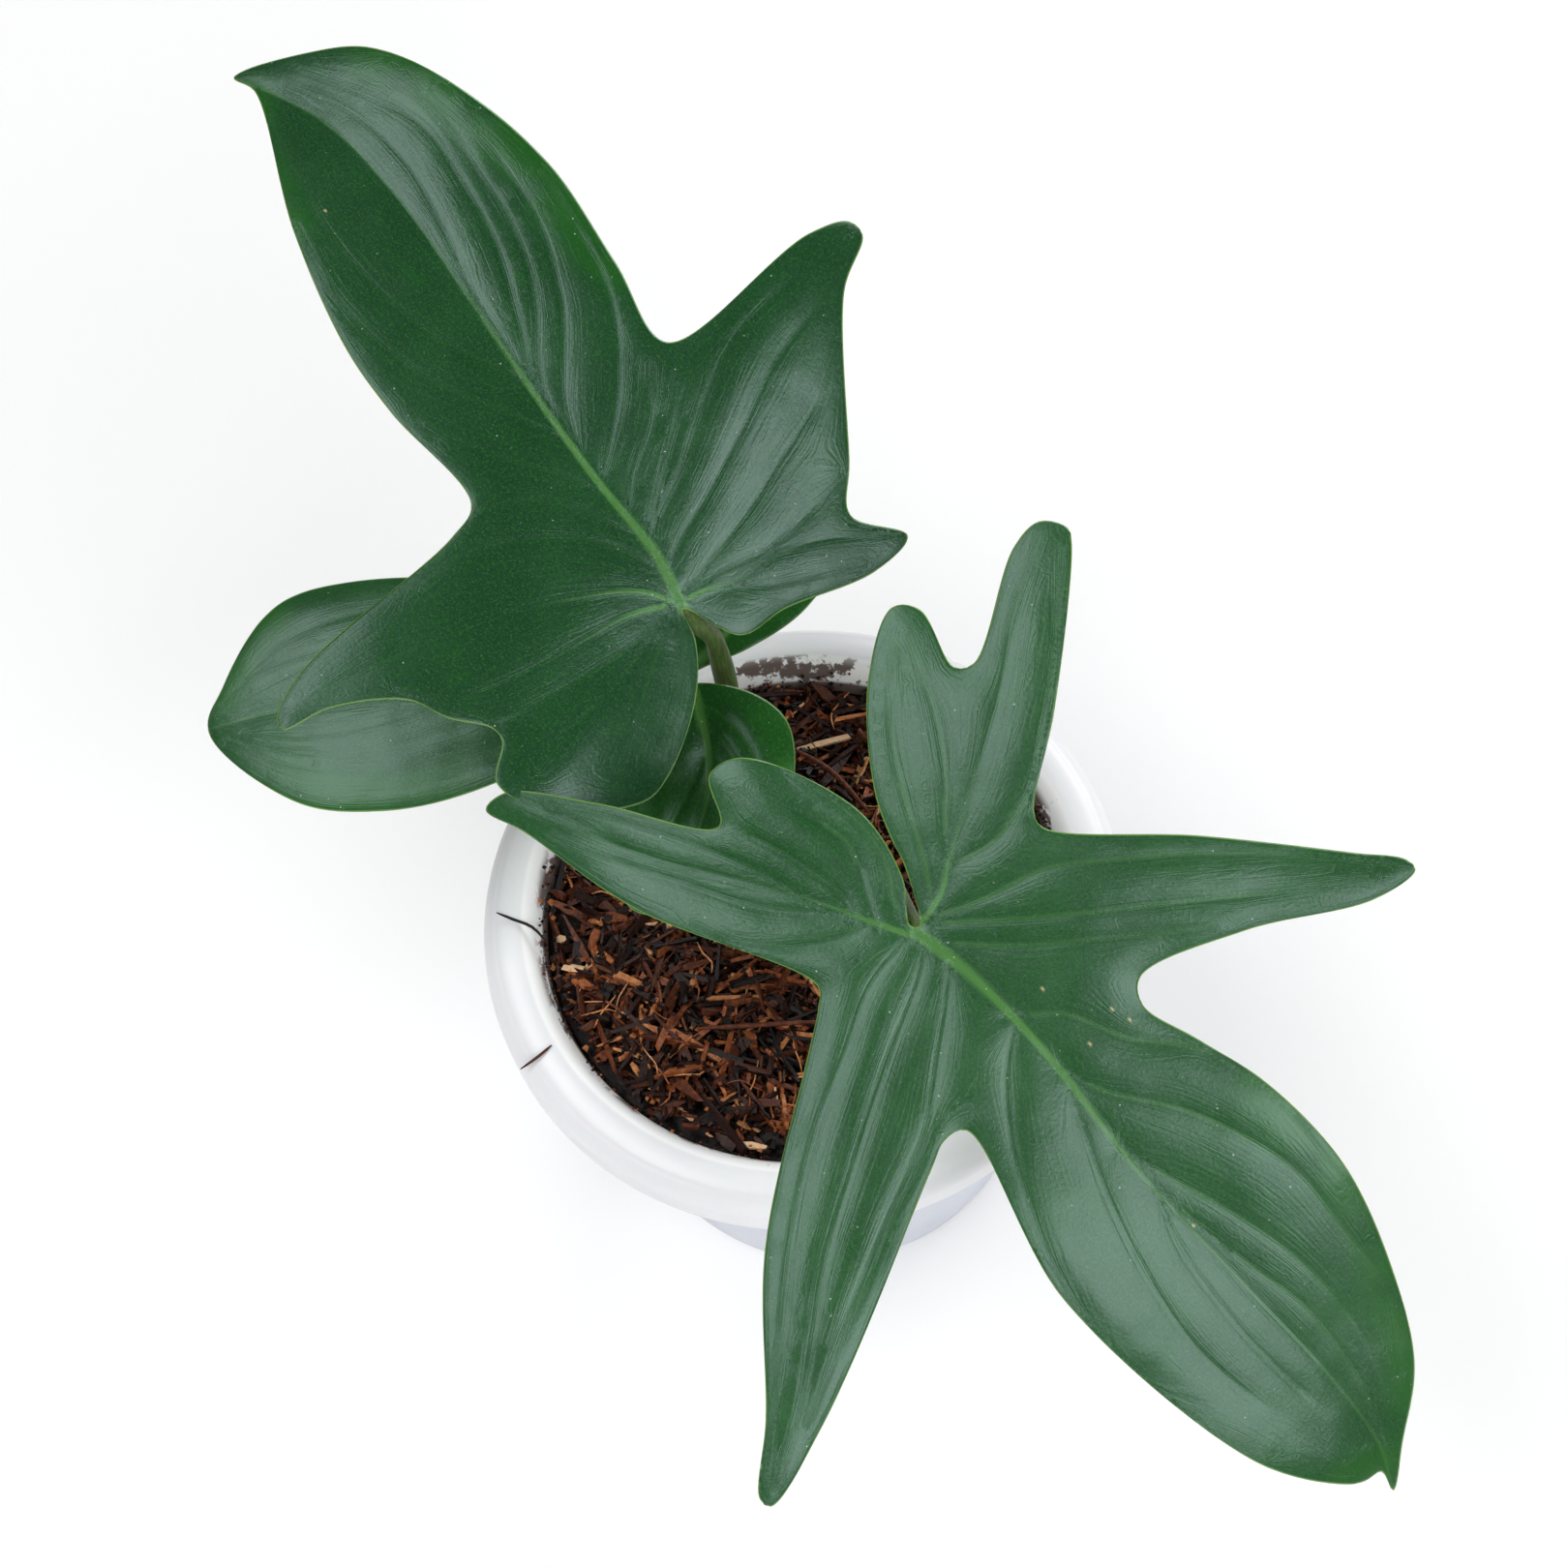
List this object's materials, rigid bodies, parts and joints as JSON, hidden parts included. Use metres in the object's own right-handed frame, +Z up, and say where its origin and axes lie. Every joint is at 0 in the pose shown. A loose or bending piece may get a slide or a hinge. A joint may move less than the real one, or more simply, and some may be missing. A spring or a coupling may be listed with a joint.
{
  "type": "potted oakleaf philodendron",
  "caption": "Young aroid house plant with large lobed leaves on slender petioles, in a round white plastic nursery pot filled with bark mix.",
  "frame": {"origin": "centre of the pot's flat underside, on the surface that the pot stands on", "axes": "+Z up along the pot's axis; -Y towards the front of the plant, the side that the picture is taken from; +X to the right of that view"},
  "size_m": [0.1919, 0.2529, 0.1935],
  "materials": {
    "pot_plastic": "satin white moulded plastic, soiled just inside the rim",
    "potting_mix": "damp dark bark and husk mix with reddish brown chips",
    "stem": "smooth olive green stem",
    "petiole": "smooth olive green with a purple brown flush",
    "leaf_dark": "leathery dark green leaf with a grey sheen",
    "leaf_green": "leathery mid green leaf with a grey sheen and a pale margin",
    "leaf_fresh": "soft bright green young leaf"
  },
  "bodies": {
    "root": {"pot": "pot_plastic", "potting_mix": "potting_mix", "stem": "stem", "petiole_a": "petiole", "petiole_b": "petiole", "petiole_c": "petiole", "petiole_d": "petiole", "petiole_e": "petiole", "leaf_a": "leaf_dark", "leaf_b": "leaf_green", "leaf_c": "leaf_green", "leaf_d": "leaf_fresh", "leaf_e": "leaf_fresh"}
  },
  "joints": []
}
